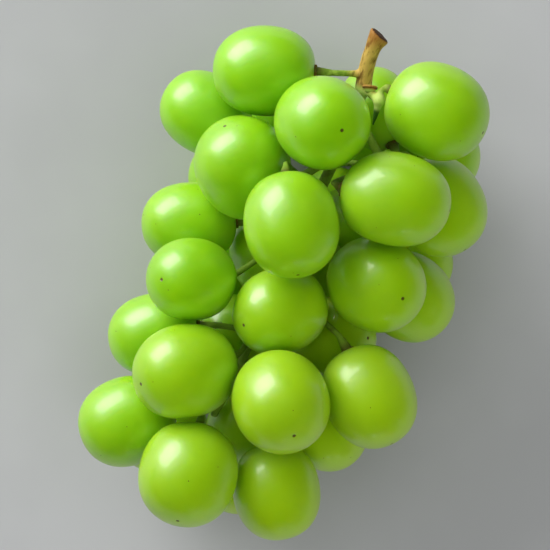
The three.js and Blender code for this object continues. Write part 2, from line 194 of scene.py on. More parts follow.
class StemSettings(PropertyGroup):
    """Shape and colours of the stem skeleton."""

    voxel: length("Voxel", "Fineness of the stem's surface", 0.36)
    smoothing: IntProperty(name="Smoothing", description="Times the stem's facets are smoothed", default=7)
    regrow: length("Regrow", "What the smoothing takes off and this puts back", 0.16)
    ridge_depth: length("Ridge depth", "Height of the bark's ridges", 0.12)
    peduncle: length("Peduncle", "From the crown to the cut", 17)
    wood: colour("Wood", "Tan of the woody peduncle", (0.62, 0.41, 0.09))
    bark: colour("Bark", "Brown in the bark's furrows", (0.2, 0.095, 0.016))
    cut: colour("Cut", "Dried brown of the cut end", (0.07, 0.026, 0.006))
    # Shadowed: painted shade, the dark green given to the spur below the fork.
    shadowed: colour("Shadowed", "Dark green of the dried spur", (0.03, 0.1, 0.004))
    seat: colour("Seat", "Olive brown of the receptacles", (0.1, 0.11, 0.01))
    reddened: colour("Reddened", "Red-brown of the wood near the cut", (0.34, 0.13, 0.02))
    green: colour("Green", "Green of the laterals and pedicels", (0.36, 0.53, 0.06))
    # Shaded: darker green that mottles the stalks, and the painted shade on the stalks deep in the bunch.
    shaded: colour("Shaded", "Darker green that mottles them", (0.17, 0.3, 0.018))
    knuckle: colour("Knuckle", "Pale green of the swollen forks", (0.54, 0.7, 0.16))
    ring_radius: length("Ring radius", "Radius of the corky ring beside the crown", 2.2)


class CollarSettings(PropertyGroup):
    """The warty collar where a pedicel meets its berry."""

    radius: length("Radius", "Radius of the collar", 2.15)
    height: length("Height", "Height of the collar", 1.15)
    warts: IntProperty(name="Warts", description="Warts round one collar", default=9)
    seed: IntProperty(name="Seed", description="Turns each collar its own way", default=4)


class StageSettings(PropertyGroup):
    """Floor, lights and camera."""

    turn: FloatProperty(
        name="Turn",
        description="Turn of the picture about the vertical",
        default=math.radians(24),
        unit="ROTATION",
    )
    aim: FloatVectorProperty(
        name="Aim",
        description="Point that the camera looks down on",
        default=(-0.00054, -0.00003, 0.045),
        unit="LENGTH",
        size=3,
        precision=5,
    )
    distance: length("Distance", "Camera to the point it looks at", 600)
    view_width: length("View width", "Width seen at the middle of the bunch", 159.4)
    floor: colour("Floor", "Pale floor", (0.5, 0.505, 0.51))
    key_power: power("Key power", "Power of the key light", 14.0)
    fill_power: power("Fill power", "Power of the fill light", 3.0)
    top_power: power("Top power", "Power of the overhead light", 5.7)
    low_power: power("Low power", "Power of the light opposite the key", 4.3)
    rim_power: power("Rim power", "Power of the rim strip", 0.09)


SETTINGS = {
    "grape_berries": BerrySettings,
    "grape_skin": SkinSettings,
    "grape_lenticels": LenticelSettings,
    "grape_stem": StemSettings,
    "grape_collars": CollarSettings,
    "grape_stage": StageSettings,
}


# -------------------------------------------------------------------------------------- node helpers


def add_node(tree, kind, inputs=None, **settings):
    """A node whose inputs are given as values or as sockets to link from."""
    node = tree.nodes.new(kind)
    for name, value in settings.items():
        setattr(node, name, value)
    for key, value in (inputs or {}).items():
        if isinstance(value, bpy.types.NodeSocket):
            tree.links.new(value, node.inputs[key])
        else:
            node.inputs[key].default_value = value
    return node


def math_node(tree, operation, *values, clamp=False):
    """The output of a Math node."""
    node = add_node(tree, "ShaderNodeMath", dict(enumerate(values)), operation=operation, use_clamp=clamp)
    return node.outputs[0]


def vector_node(tree, operation, *values, output="Vector"):
    """The output of a Vector Math node."""
    node = add_node(tree, "ShaderNodeVectorMath", dict(enumerate(values)), operation=operation)
    return node.outputs[output]


def mix_colour(tree, factor, first, second):
    """The colour between first and second."""
    node = tree.nodes.new("ShaderNodeMix")
    node.data_type = "RGBA"
    for socket, value in ((node.inputs[0], factor), (node.inputs[6], first), (node.inputs[7], second)):
        if isinstance(value, bpy.types.NodeSocket):
            tree.links.new(value, socket)
        elif isinstance(value, (int, float)):
            socket.default_value = value
        else:
            socket.default_value = (*value, 1.0)[:4]
    return node.outputs[2]


def ramp_between(tree, value, low, high):
    """0 below low, 1 above high."""
    node = add_node(
        tree,
        "ShaderNodeMapRange",
        {"Value": value, "From Min": low, "From Max": high, "To Min": 0.0, "To Max": 1.0},
        interpolation_type="SMOOTHSTEP",
    )
    return node.outputs["Result"]


def noise(tree, vector, scale, detail=2.0, roughness=0.5):
    """The value of a Noise texture."""
    inputs = {
        "Vector": vector,
        "Scale": scale,
        "Detail": detail,
        "Roughness": roughness,
    }
    return add_node(tree, "ShaderNodeTexNoise", inputs).outputs[0]


def new_group(name, tree_type, inputs, outputs):
    """A node group with named sockets, and its input and output nodes. A socket is (name, type, default)."""
    tree = bpy.data.node_groups.new(name, tree_type)
    for socket_name, socket_type, default in inputs:
        socket = tree.interface.new_socket(socket_name, in_out="INPUT", socket_type=socket_type)
        if default is not None:
            socket.default_value = default
    for socket_name, socket_type in outputs:
        tree.interface.new_socket(socket_name, in_out="OUTPUT", socket_type=socket_type)
    return tree, tree.nodes.new("NodeGroupInput"), tree.nodes.new("NodeGroupOutput")


def mottle_group():
    """Cloudy mixing of two colours, used by the skin, the stem and the collars."""
    if "mottle" in bpy.data.node_groups:
        return bpy.data.node_groups["mottle"]
    tree, given, result = new_group(
        "mottle",
        "ShaderNodeTree",
        [
            ("First", "NodeSocketColor", None),
            ("Second", "NodeSocketColor", None),
            ("Vector", "NodeSocketVector", None),
            ("Scale", "NodeSocketFloat", 60.0),
            ("Low", "NodeSocketFloat", 0.35),
            ("High", "NodeSocketFloat", 0.65),
        ],
        [("Color", "NodeSocketColor"), ("Mask", "NodeSocketFloat")],
    )
    cloud = noise(tree, given.outputs["Vector"], given.outputs["Scale"], detail=3.0, roughness=0.6)
    mask = ramp_between(tree, cloud, given.outputs["Low"], given.outputs["High"])
    mixed = mix_colour(tree, mask, given.outputs["First"], given.outputs["Second"])
    tree.links.new(mixed, result.inputs["Color"])
    tree.links.new(mask, result.inputs["Mask"])
    return tree


def pores_group():
    """Fine pits and grains as a height, used by every material's bump."""
    if "pores" in bpy.data.node_groups:
        return bpy.data.node_groups["pores"]
    tree, given, result = new_group(
        "pores",
        "ShaderNodeTree",
        [("Vector", "NodeSocketVector", None), ("Scale", "NodeSocketFloat", 2500.0)],
        [("Height", "NodeSocketFloat")],
    )
    cells = add_node(
        tree, "ShaderNodeTexVoronoi", {"Vector": given.outputs["Vector"], "Scale": given.outputs["Scale"]}
    ).outputs["Distance"]
    grain = noise(tree, given.outputs["Vector"], given.outputs["Scale"], detail=4.0)
    half_cells = math_node(tree, "MULTIPLY", cells, 0.5)
    half_grain = math_node(tree, "MULTIPLY", grain, 0.5)
    height = math_node(tree, "ADD", half_cells, half_grain)
    tree.links.new(height, result.inputs["Height"])
    return tree


def use_group(tree, group, inputs):
    """A group node with its inputs set."""
    node = tree.nodes.new("ShaderNodeGroup")
    node.node_tree = group
    for key, value in inputs.items():
        if isinstance(value, bpy.types.NodeSocket):
            tree.links.new(value, node.inputs[key])
        elif isinstance(value, (int, float)):
            node.inputs[key].default_value = value
        else:
            node.inputs[key].default_value = (*value, 1.0)[:4]
    return node


def new_material(name):
    """An empty node material: its tree, its Principled shader and Object coordinates."""
    material = bpy.data.materials.new(name)
    material.use_nodes = True
    tree = material.node_tree
    tree.nodes.clear()
    shader = tree.nodes.new("ShaderNodeBsdfPrincipled")
    output = tree.nodes.new("ShaderNodeOutputMaterial")
    tree.links.new(shader.outputs[0], output.inputs["Surface"])
    place = tree.nodes.new("ShaderNodeTexCoord").outputs["Object"]
    return material, tree, shader, place


def attribute(tree, name):
    """A float that the mesh carries."""
    return add_node(tree, "ShaderNodeAttribute", attribute_name=name).outputs["Fac"]


def set_sockets(shader, values):
    """Sets constant values on a shader's own sockets."""
    for name, value in values.items():
        shader.inputs[name].default_value = value


def connect_bump(tree, shader, height, strength, distance):
    """Feeds a height to the shader's Normal."""
    bump = add_node(tree, "ShaderNodeBump", {"Height": height, "Strength": strength, "Distance": distance})
    tree.links.new(bump.outputs["Normal"], shader.inputs["Normal"])


# ------------------------------------------------------------------------------------------ materials


def skin_material():
    """Translucent yellow-green grape skin under a film of bloom, with a brown scar at the tip. Its olive
    tone is partly each berry's own ripeness and partly painted shade and painted warm reflected light on the
    side away from the key light.
    """
    look = bpy.context.scene.grape_skin
    material, tree, shader, place = new_material("grape_skin")
    flesh = use_group(
        tree,
        mottle_group(),
        {"First": look.flesh, "Second": look.deep, "Vector": place, "Scale": 45.0, "Low": 0.3, "High": 0.8},
    ).outputs["Color"]
    tone = attribute(tree, "ripeness_and_shade")
    # Olive tone by the berry's stored tone: its own ripeness, plus painted shade and painted warm reflected
    # light on the side away from the key light.
    ripened_and_shaded = mix_colour(tree, math_node(tree, "MULTIPLY", tone, 0.7), flesh, look.ripe_and_shaded)
    along = attribute(tree, "from_stem")
    near_stem = ramp_between(tree, along, 0.3, 0.0)
    paled = mix_colour(tree, math_node(tree, "MULTIPLY", near_stem, 0.08), ripened_and_shaded, look.bloom)
    film = use_group(
        tree,
        mottle_group(),
        {"First": (0, 0, 0), "Second": (1, 1, 1), "Vector": place, "Scale": 110.0, "Low": 0.3, "High": 0.75},
    ).outputs["Mask"]
    waxed = math_node(tree, "MULTIPLY", film, look.bloom_amount)
    coated = mix_colour(tree, waxed, paled, look.bloom)
    scar = attribute(tree, "scar")
    coloured = mix_colour(tree, scar, coated, look.scar)
    tree.links.new(coloured, shader.inputs["Base Color"])
    rough = math_node(tree, "ADD", math_node(tree, "MULTIPLY", film, 0.08), 0.36)
    rough = math_node(tree, "ADD", rough, math_node(tree, "MULTIPLY", scar, 0.4), clamp=True)
    tree.links.new(rough, shader.inputs["Roughness"])
    set_sockets(
        shader,
        {
            "IOR": 1.55,
            "Specular IOR Level": 0.8,
            "Subsurface Weight": 1.0,
            "Subsurface Radius": (1.2, 1.0, 0.1),
            "Subsurface Scale": 10 * MM,
            "Subsurface Anisotropy": 0.4,
            "Coat Roughness": 0.06,
            "Coat Weight": 0.35,
        },
    )
    pits = use_group(tree, pores_group(), {"Vector": place, "Scale": 1500.0}).outputs["Height"]
    connect_bump(tree, shader, pits, 0.12, 0.1 * MM)
    return material


def speck_material():
    """Dry brown cork of the lenticels."""
    look = bpy.context.scene.grape_skin
    material, tree, shader, place = new_material("lenticel_cork")
    cork = use_group(
        tree,
        mottle_group(),
        {"First": look.scar, "Second": (0.16, 0.12, 0.03), "Vector": place, "Scale": 900.0},
    ).outputs["Color"]
    tree.links.new(cork, shader.inputs["Base Color"])
    grain = use_group(tree, pores_group(), {"Vector": place, "Scale": 6000.0}).outputs["Height"]
    connect_bump(tree, shader, grain, 0.3, 0.05 * MM)
    set_sockets(shader, {"Roughness": 0.6})
    return material


def bark_material():
    """Woody tan peduncle that turns into green stalks with pale knuckles, with painted shade: darker green
    on the stalks far from the crown and on the spur.
    """
    look = bpy.context.scene.grape_stem
    material, tree, shader, place = new_material("stalk_bark")
    streaky = add_node(tree, "ShaderNodeMapping", {"Vector": place, "Scale": (1.0, 0.16, 0.6)}).outputs[0]
    wood = use_group(
        tree,
        mottle_group(),
        {
            "First": look.wood,
            "Second": look.bark,
            "Vector": streaky,
            "Scale": 1100.0,
            "Low": 0.44,
            "High": 0.7,
        },
    ).outputs["Color"]
    near_cut = attribute(tree, "near_cut")
    wood = mix_colour(tree, math_node(tree, "MULTIPLY", near_cut, 0.8), wood, look.reddened)
    stalk = use_group(
        tree,
        mottle_group(),
        {"First": look.green, "Second": look.shaded, "Vector": place, "Scale": 320.0},
    ).outputs["Color"]
    # Stalks far from the crown, deep in the bunch, are darkened towards the shaded green: painted shade.
    painted_shade_share = math_node(tree, "SUBTRACT", 1.0, attribute(tree, "unshaded"))
    stalk = mix_colour(tree, math_node(tree, "MULTIPLY", painted_shade_share, 0.75), stalk, look.shaded)
    # The spur below the fork is darkened: painted shade.
    stalk = mix_colour(tree, attribute(tree, "shadowed"), stalk, look.shadowed)
    knuckled = mix_colour(tree, attribute(tree, "knuckle"), stalk, look.knuckle)
    blotch = use_group(
        tree,
        mottle_group(),
        {"First": (0, 0, 0), "Second": (1, 1, 1), "Vector": place, "Scale": 230.0, "Low": 0.58, "High": 0.7},
    ).outputs["Mask"]
    blotched = math_node(tree, "MULTIPLY", blotch, 0.55)
    browned = math_node(tree, "MAXIMUM", blotched, attribute(tree, "browned"))
    scuffed = mix_colour(tree, browned, knuckled, look.seat)
    grown = mix_colour(tree, attribute(tree, "woody"), scuffed, wood)
    coloured = mix_colour(tree, attribute(tree, "cut"), grown, look.cut)
    tree.links.new(coloured, shader.inputs["Base Color"])
    grain = use_group(tree, pores_group(), {"Vector": streaky, "Scale": 2600.0}).outputs["Height"]
    connect_bump(tree, shader, grain, 0.4, 0.15 * MM)
    rough = math_node(tree, "ADD", math_node(tree, "MULTIPLY", grain, 0.25), 0.5)
    tree.links.new(rough, shader.inputs["Roughness"])
    set_sockets(shader, {"Specular IOR Level": 0.3})
    return material


def collar_material():
    """Green-brown warty collar."""
    material, tree, shader, place = new_material("collar_cork")
    cork = use_group(
        tree,
        mottle_group(),
        {"First": (0.09, 0.12, 0.01), "Second": (0.19, 0.09, 0.012), "Vector": place, "Scale": 420.0},
    ).outputs["Color"]
    tree.links.new(cork, shader.inputs["Base Color"])
    grain = use_group(tree, pores_group(), {"Vector": place, "Scale": 3000.0}).outputs["Height"]
    connect_bump(tree, shader, grain, 0.5, 0.15 * MM)
    set_sockets(shader, {"Roughness": 0.62})
    return material


def floor_material():
    """Matt pale floor."""
    look = bpy.context.scene.grape_stage
    material, tree, shader, place = new_material("pale_floor")
    darker = tuple(value * 0.95 for value in look.floor)
    paint = use_group(
        tree, mottle_group(), {"First": look.floor, "Second": darker, "Vector": place, "Scale": 14.0}
    ).outputs["Color"]
    tree.links.new(paint, shader.inputs["Base Color"])
    set_sockets(shader, {"Roughness": 0.85})
    return material


# -------------------------------------------------------------------------------- geometry from CAD


def cad_points(node_name):
    """A CAD node's points without doubles, its triangles, and how many edges meet at each point."""
    mesh = frame["nodes"][node_name].data
    loose = np.empty(len(mesh.vertices) * 3)
    mesh.vertices.foreach_get("co", loose)
    corners = np.empty(len(mesh.loops), dtype=np.int64)
    mesh.loops.foreach_get("vertex_index", corners)
    points, which = np.unique(np.round(loose.reshape(-1, 3), 7), axis=0, return_inverse=True)
    triangles = which.reshape(-1)[corners].reshape(-1, 3)
    edges = np.vstack([triangles[:, [0, 1]], triangles[:, [1, 2]], triangles[:, [2, 0]]])
    edges = np.unique(np.sort(edges, axis=1), axis=0)
    return points, triangles, np.bincount(edges.ravel(), minlength=len(points))


def peduncle_marks(points):
    """The crown, where the peduncle leaves the rachis, and the fork beside it."""
    shaft = points[points[:, 1] > points[:, 1].max() - PEDUNCLE_TOP_DEPTH]
    middle = Vector(shaft.mean(axis=0))
    crown = middle - PEDUNCLE_LEAN * CROWN_BELOW_TOP
    return crown, crown + FORK_FROM_CROWN


def stem_tree():
    """The stem's points, for finding which end of a berry is on its pedicel."""
    points = cad_points(STEM_NODE)[0]
    tree = kdtree.KDTree(len(points))
    for index, point in enumerate(points):
        tree.insert(point, index)
    tree.balance()
    return tree


def berry_ends(node_name, stem_points):
    """The stem end and the tip of a berry: the two points where the most edges meet."""
    points, _, valence = cad_points(node_name)
    first, second = (Vector(points[i]) for i in np.argsort(-valence, kind="stable")[:2])
    if stem_points.find(second)[2] < stem_points.find(first)[2]:
        first, second = second, first
    return first, second


def smooth_radius(directions, radii):
    """A smooth function of direction that passes through a berry's CAD points: a quadric and soft bumps."""

    def quadric(u):
        x, y, z = u.T
        one = np.ones(len(u))
        return np.stack([one, x, y, z, x * y, y * z, z * x, x * x - y * y, 3 * z * z - 1], axis=1)

    def bumps(u):
        apart = np.linalg.norm(u[:, None, :] - directions[None, :, :], axis=2)
        return apart**3

    terms = quadric(directions)
    count, extra = terms.shape
    system = np.zeros((count + extra, count + extra))
    system[:count, :count] = bumps(directions)
    system[:count, count:] = terms
    system[count:, :count] = terms.T
    wanted = np.concatenate([radii, np.zeros(extra)])
    weights = np.linalg.solve(system, wanted)
    return lambda u: bumps(u) @ weights[:count] + quadric(u) @ weights[count:]


def skin_mesh(node_name, stem_end, tip, segments, rings):
    """A closed mesh of rings from the stem end to the tip, closer together near both."""
    points = cad_points(node_name)[0]
    middle = np.array((stem_end + tip) / 2)
    axis = (tip - stem_end).normalized()
    side = axis.orthogonal().normalized()
    across = axis.cross(side)
    offsets = points - middle
    radii = np.linalg.norm(offsets, axis=1)
    radius_at = smooth_radius(offsets / radii[:, None], radii)
    crowding = 0.3
    directions = [-np.array(axis)]
    for ring in range(1, rings):
        t = ring / rings
        polar = math.pi * t - crowding * math.sin(2 * math.pi * t)
        for segment in range(segments):
            around = 2 * math.pi * segment / segments
            level = math.cos(around) * side + math.sin(around) * across
            directions.append(np.array(-math.cos(polar) * axis + math.sin(polar) * level))
    directions.append(np.array(axis))
    directions = np.array(directions)
    places = middle + directions * radius_at(directions)[:, None]
    places[:, 2] = np.maximum(places[:, 2], points[:, 2].min())
    faces = []
    last = len(places) - 1
    for segment in range(segments):
        after = (segment + 1) % segments
        faces.append((0, 1 + after, 1 + segment))
        for ring in range(rings - 2):
            low = 1 + ring * segments
            high = low + segments
            faces.append((low + segment, low + after, high + after, high + segment))
        top = 1 + (rings - 2) * segments
        faces.append((top + segment, top + after, last))
    mesh = bpy.data.meshes.new(node_name + "_skin")
    mesh.from_pydata(places.tolist(), [], faces)
    return mesh


def ring_mesh(centre, axis, radius, sides=32):
    """A closed button turned about an axis, its rim a little uneven; the rim is marked woody."""
    side = axis.orthogonal().normalized()
    across = axis.cross(side)
    places = []
    marks = {"woody": [], "near_cut": [], "cut": [], "knuckle": [], "unshaded": []}
    wave_phase = 1.0
    for out, rise in RING_PROFILE:
        for step in range(sides):
            around = 2 * math.pi * step / sides
            wave = 1.0 + 0.04 * math.sin(3 * around + wave_phase) + 0.02 * math.sin(7 * around)
            level = (math.cos(around) * side + math.sin(around) * across) * (out * wave)
            places.append(centre + (level + axis * rise) * radius)
            marks["woody"].append(1.0 if out > RING_RIM else 0.0)
            marks["near_cut"].append(0.8 if out > RING_RIM else 0.0)
            marks["cut"].append(0.8 if -0.2 < rise < -0.1 else 0.0)
            marks["knuckle"].append(0.7)
            marks["unshaded"].append(1.0)
    rows = len(RING_PROFILE)
    faces = [tuple(reversed(range(sides))), tuple(range((rows - 1) * sides, rows * sides))]
    for row in range(rows - 1):
        for step in range(sides):
            low = row * sides + step
            after = row * sides + (step + 1) % sides
            faces.append((low, after, after + sides, low + sides))
    mesh = bpy.data.meshes.new("crown_ring")
    mesh.from_pydata(places, [], faces)
    for name, values in marks.items():
        mesh.attributes.new(name, "FLOAT", "POINT").data.foreach_set("value", values)
    mesh.shade_smooth()
    return mesh


def new_object(name, mesh):
    """An object at the origin that shows a mesh."""
    made = bpy.data.objects.new(name, mesh)
    bpy.context.scene.collection.objects.link(made)
    return made


def grow(carrier, group, values):
    """Runs a geometry tree on carrier with its named inputs set, and keeps the result as its plain mesh."""
    modifier = carrier.modifiers.new(group.name, "NODES")
    modifier.node_group = group
    for item in group.interface.items_tree:
        if item.in_out == "INPUT" and item.name in values:
            modifier[item.identifier] = values[item.name]
    evaluated = carrier.evaluated_get(bpy.context.evaluated_depsgraph_get())
    mesh = bpy.data.meshes.new_from_object(evaluated)
    mesh.name = carrier.name
    mesh.materials.clear()
    mesh.materials.append(values["Material"])
    mesh.polygons.foreach_set("material_index", np.zeros(len(mesh.polygons), dtype=np.int32))
    carrier.modifiers.remove(modifier)
    carrier.data = mesh
    return carrier


def finish_piece(piece, slot, *replaced):
    """Puts a finished piece on the body and hides the CAD parts that it replaces; the slot is not used."""
    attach(piece, BODY)
    if replaced:
        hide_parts(*replaced)


# ------------------------------------------------------------------------------------ geometry trees

GEOMETRY = "NodeSocketGeometry"
FLOAT = "NodeSocketFloat"
INTEGER = "NodeSocketInt"
VECTOR = "NodeSocketVector"
MATERIAL = "NodeSocketMaterial"


def store(tree, geometry, name, value):
    """Stores a value on the points of a geometry."""
    node = add_node(
        tree,
        "GeometryNodeStoreNamedAttribute",
        {"Geometry": geometry, "Name": name, "Value": value},
        data_type="FLOAT",
        domain="POINT",
    )
    return node.outputs[0]


def end_tree(tree, geometry, material, result):
    """Realizes, shades smooth and gives the material."""
    real = add_node(tree, "GeometryNodeRealizeInstances", {"Geometry": geometry}).outputs[0]
    smooth = add_node(tree, "GeometryNodeSetShadeSmooth", {"Geometry": real}).outputs[0]
    painted = add_node(tree, "GeometryNodeSetMaterial", {"Geometry": smooth, "Material": material})
    tree.links.new(painted.outputs[0], result.inputs[0])


def hollow(tree, geometry, centre, axis, radius, depth):
    """Presses a round hollow into a geometry at centre, along axis."""
    position = tree.nodes.new("GeometryNodeInputPosition").outputs[0]
    apart = vector_node(tree, "DISTANCE", position, centre, output="Value")
    mask = ramp_between(tree, math_node(tree, "DIVIDE", apart, radius), 1.0, 0.0)
    offset = add_node(tree, "ShaderNodeVectorMath", {0: axis}, operation="SCALE")
    tree.links.new(math_node(tree, "MULTIPLY", mask, depth), offset.inputs["Scale"])
    moved = add_node(tree, "GeometryNodeSetPosition", {"Geometry": geometry, "Offset": offset.outputs[0]})
    return moved.outputs[0]


def berry_tree():
    """Smooths a berry's skin, makes it a little uneven and presses in its stem dimple and tip scar."""
    tree, given, result = new_group(
        "berry_skin_shape",
        "GeometryNodeTree",
        [
            ("Geometry", GEOMETRY, None),
            ("Stem end", VECTOR, None),
            ("Tip", VECTOR, None),
            ("Dimple radius", FLOAT, 0.003),
            ("Dimple depth", FLOAT, 0.0004),
            ("Scar radius", FLOAT, 0.0007),
            ("Scar depth", FLOAT, 0.0002),
            ("Unevenness", FLOAT, 0.0001),
            ("Floor", FLOAT, 0.0),
            ("Ripeness and shade", FLOAT, 0.0),
            ("Material", MATERIAL, None),
        ],
        [("Geometry", GEOMETRY)],
    )
    fine = add_node(tree, "GeometryNodeSubdivisionSurface", {"Mesh": given.outputs["Geometry"], "Level": 1})
    stem_end, tip = given.outputs["Stem end"], given.outputs["Tip"]
    axis = vector_node(tree, "NORMALIZE", vector_node(tree, "SUBTRACT", tip, stem_end))
    back = vector_node(tree, "MULTIPLY", axis, (-1.0, -1.0, -1.0))
    position = tree.nodes.new("GeometryNodeInputPosition").outputs[0]
    wander = math_node(tree, "SUBTRACT", noise(tree, position, 70.0, detail=1.0), 0.5)
    normal = tree.nodes.new("GeometryNodeInputNormal").outputs[0]
    uneven = add_node(tree, "ShaderNodeVectorMath", {0: normal}, operation="SCALE")
    tree.links.new(
        math_node(tree, "MULTIPLY", wander, math_node(tree, "MULTIPLY", given.outputs["Unevenness"], 2.0)),
        uneven.inputs["Scale"],
    )
    shape = add_node(
        tree, "GeometryNodeSetPosition", {"Geometry": fine.outputs[0], "Offset": uneven.outputs[0]}
    )
    span = vector_node(tree, "DISTANCE", stem_end, tip, output="Value")
    reached = vector_node(
        tree, "DOT_PRODUCT", vector_node(tree, "SUBTRACT", position, stem_end), axis, output="Value"
    )
    along = math_node(tree, "DIVIDE", reached, span, clamp=True)
    marked = store(tree, shape.outputs[0], "from_stem", along)
    # Stores each berry's tone: its ripeness, plus painted shade on the side away from the key light.
    marked = store(tree, marked, "ripeness_and_shade", given.outputs["Ripeness and shade"])
    dimpled = hollow(
        tree, marked, stem_end, axis, given.outputs["Dimple radius"], given.outputs["Dimple depth"]
    )
    apart = vector_node(tree, "DISTANCE", position, tip, output="Value")
    scar_mask = ramp_between(tree, math_node(tree, "DIVIDE", apart, given.outputs["Scar radius"]), 1.0, 0.55)
    scarred = store(tree, dimpled, "scar", scar_mask)
    pitted = hollow(tree, scarred, tip, back, given.outputs["Scar radius"], given.outputs["Scar depth"])
    parts = add_node(tree, "ShaderNodeSeparateXYZ", {0: position})
    level = math_node(tree, "MAXIMUM", parts.outputs["Z"], given.outputs["Floor"])
    kept = add_node(
        tree, "ShaderNodeCombineXYZ", {"X": parts.outputs["X"], "Y": parts.outputs["Y"], "Z": level}
    )
    grounded = add_node(tree, "GeometryNodeSetPosition", {"Geometry": pitted, "Position": kept.outputs[0]})
    end_tree(tree, grounded.outputs[0], given.outputs["Material"], result)
    return tree


def lenticel_tree():
    """Scatters small flat domes over the skins."""
    tree, given, result = new_group(
        "lenticels",
        "GeometryNodeTree",
        [
            ("Geometry", GEOMETRY, None),
            ("Spacing", FLOAT, 0.007),
            ("Density", FLOAT, 2500.0),
            ("Radius", FLOAT, 0.0003),
            ("Seed", INTEGER, 0),
            ("Material", MATERIAL, None),
        ],
        [("Geometry", GEOMETRY)],
    )
    points = add_node(
        tree,
        "GeometryNodeDistributePointsOnFaces",
        {
            "Mesh": given.outputs["Geometry"],
            "Distance Min": given.outputs["Spacing"],
            "Density Max": given.outputs["Density"],
            "Seed": given.outputs["Seed"],
        },
        distribute_method="POISSON",
    )
    dome = add_node(
        tree, "GeometryNodeMeshIcoSphere", {"Radius": given.outputs["Radius"], "Subdivisions": 2}
    )
    size = add_node(
        tree,
        "FunctionNodeRandomValue",
        {"Min": (0.55, 0.55, 0.25), "Max": (1.25, 1.1, 0.4), "Seed": given.outputs["Seed"]},
        data_type="FLOAT_VECTOR",
    )
    placed = add_node(
        tree,
        "GeometryNodeInstanceOnPoints",
        {
            "Points": points.outputs["Points"],
            "Instance": dome.outputs["Mesh"],
            "Rotation": points.outputs["Rotation"],
            "Scale": size.outputs[0],
        },
    )
    end_tree(tree, placed.outputs[0], given.outputs["Material"], result)
    return tree


def collar_tree():
    """A warty collar on each point, along the point's own axis attribute."""
    tree, given, result = new_group(
        "collars",
        "GeometryNodeTree",
        [
            ("Geometry", GEOMETRY, None),
            ("Radius", FLOAT, 0.002),
            ("Height", FLOAT, 0.001),
            ("Warts", INTEGER, 9),
            ("Seed", INTEGER, 0),
            ("Material", MATERIAL, None),
        ],
        [("Geometry", GEOMETRY)],
    )
    radius, height = given.outputs["Radius"], given.outputs["Height"]
    cone = add_node(
        tree,
        "GeometryNodeMeshCone",
        {
            "Vertices": 18,
            "Side Segments": 3,
            "Fill Segments": 2,
            "Radius Top": math_node(tree, "MULTIPLY", radius, 0.5),
            "Radius Bottom": radius,
            "Depth": height,
        },
    )
    ring = add_node(tree, "GeometryNodeCurvePrimitiveCircle", {"Resolution": given.outputs["Warts"]})
    tree.links.new(math_node(tree, "MULTIPLY", radius, 0.86), ring.inputs["Radius"])
    wart = add_node(tree, "GeometryNodeMeshIcoSphere", {"Subdivisions": 2})
    tree.links.new(math_node(tree, "MULTIPLY", radius, 0.2), wart.inputs["Radius"])
    warts = add_node(
        tree,
        "GeometryNodeInstanceOnPoints",
        {"Points": ring.outputs["Curve"], "Instance": wart.outputs["Mesh"]},
    )
    lifted = add_node(tree, "GeometryNodeTransform", {"Geometry": warts.outputs[0]})
    lift = add_node(tree, "ShaderNodeCombineXYZ", {"Z": math_node(tree, "MULTIPLY", height, 0.3)})
    tree.links.new(lift.outputs[0], lifted.inputs["Translation"])
    joined = tree.nodes.new("GeometryNodeJoinGeometry")
    tree.links.new(cone.outputs["Mesh"], joined.inputs[0])
    tree.links.new(lifted.outputs[0], joined.inputs[0])
    outward = add_node(
        tree, "GeometryNodeInputNamedAttribute", {"Name": "outward"}, data_type="FLOAT_VECTOR"
    ).outputs[0]
    aimed = add_node(tree, "FunctionNodeAlignRotationToVector", {"Vector": outward}, axis="Z")
    angle = add_node(
        tree, "FunctionNodeRandomValue", {2: 0.0, 3: 6.28, "Seed": given.outputs["Seed"]}, data_type="FLOAT"
    )
    spin = add_node(
        tree, "FunctionNodeAxisAngleToRotation", {"Axis": (0.0, 0.0, 1.0), "Angle": angle.outputs[1]}
    )
    turned = add_node(
        tree, "FunctionNodeRotateRotation", {0: aimed.outputs[0], 1: spin.outputs[0]}, rotation_space="LOCAL"
    )
    placed = add_node(
        tree,
        "GeometryNodeInstanceOnPoints",
        {"Points": given.outputs["Geometry"], "Instance": joined.outputs[0], "Rotation": turned.outputs[0]},
    )
    end_tree(tree, placed.outputs[0], given.outputs["Material"], result)
    return tree


